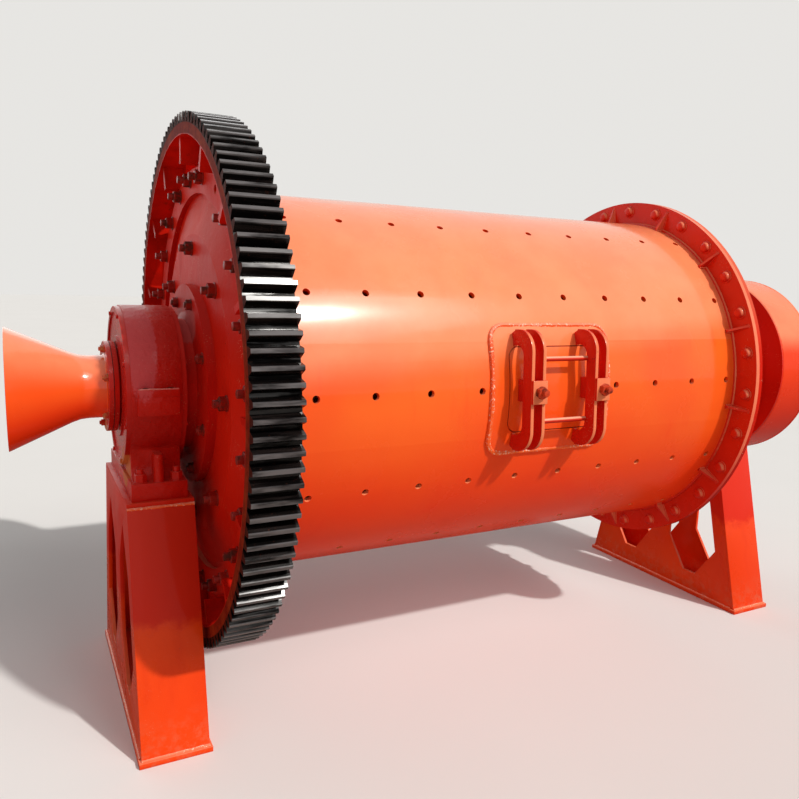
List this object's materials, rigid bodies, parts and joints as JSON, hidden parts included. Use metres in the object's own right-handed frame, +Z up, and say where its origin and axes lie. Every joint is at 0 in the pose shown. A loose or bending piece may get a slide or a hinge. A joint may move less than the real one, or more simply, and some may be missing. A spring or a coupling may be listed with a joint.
{
  "type": "ball mill",
  "caption": "Ball mill: a rolled shell with liner-bolt holes between two heads, turning on hollow trunnions in split bearings, with girth gear, discharge bell, feed drum and pedestals.",
  "frame": {"origin": "middle of the overall box at floor level, below the mill's axis", "axes": "+X along the mill from the discharge bell to the feed drum, +Z up; the hatch is on the -Y side"},
  "size_m": [3.927, 2.0796, 2.3248],
  "materials": {
    "orange_enamel": "glossy orange-red enamel, brushed and sprayed on plate",
    "red_enamel": "glossy deep red enamel, thick on rough castings",
    "gear_steel": "black greased steel teeth with bright flanks, red web",
    "bearing_bronze": "machined bearing metal, hidden in the housing"
  },
  "bodies": {
    "base": {"discharge_base_plate": "orange_enamel", "discharge_outer_plate": "orange_enamel", "discharge_inner_plate": "orange_enamel", "discharge_near_side": "orange_enamel", "discharge_far_side": "orange_enamel", "discharge_top_plate": "orange_enamel", "discharge_housing": "red_enamel", "discharge_housing_cap": "red_enamel", "discharge_end_covers": "red_enamel", "discharge_bearing_ring": "bearing_bronze", "feed_base_plate": "orange_enamel", "feed_outer_plate": "orange_enamel", "feed_inner_plate": "orange_enamel", "feed_near_side": "orange_enamel", "feed_far_side": "orange_enamel", "feed_top_plate": "orange_enamel", "feed_housing": "red_enamel", "feed_housing_cap": "red_enamel", "feed_end_covers": "red_enamel", "feed_bearing_ring": "bearing_bronze"},
    "drum": {"shell_plate_1": "orange_enamel", "shell_plate_2": "orange_enamel", "shell_plate_3": "orange_enamel", "shell_plate_4": "orange_enamel", "shell_plate_5": "orange_enamel", "shell_plate_6": "orange_enamel", "shell_hatch_plate": "orange_enamel", "hatch_seat": "orange_enamel", "hatch_cover": "orange_enamel", "hatch_clamps": "orange_enamel", "hatch_bars": "orange_enamel", "gear_half_upper": "gear_steel", "gear_half_lower": "gear_steel", "discharge_shell_flange": "orange_enamel", "feed_shell_flange": "orange_enamel", "discharge_head": "orange_enamel", "feed_head": "orange_enamel", "discharge_trunnion": "red_enamel", "feed_trunnion": "red_enamel", "discharge_bell": "orange_enamel", "feed_drum_shell": "orange_enamel", "feed_drum_inner_plate": "orange_enamel", "feed_drum_outer_plate": "orange_enamel"}
  },
  "joints": [
    {"name": "drum_spin", "type": "hinge", "parent": "base", "child": "drum", "pos_m": [0, 0, 1.285], "axis": [1, 0, 0], "continuous": true}
  ]
}
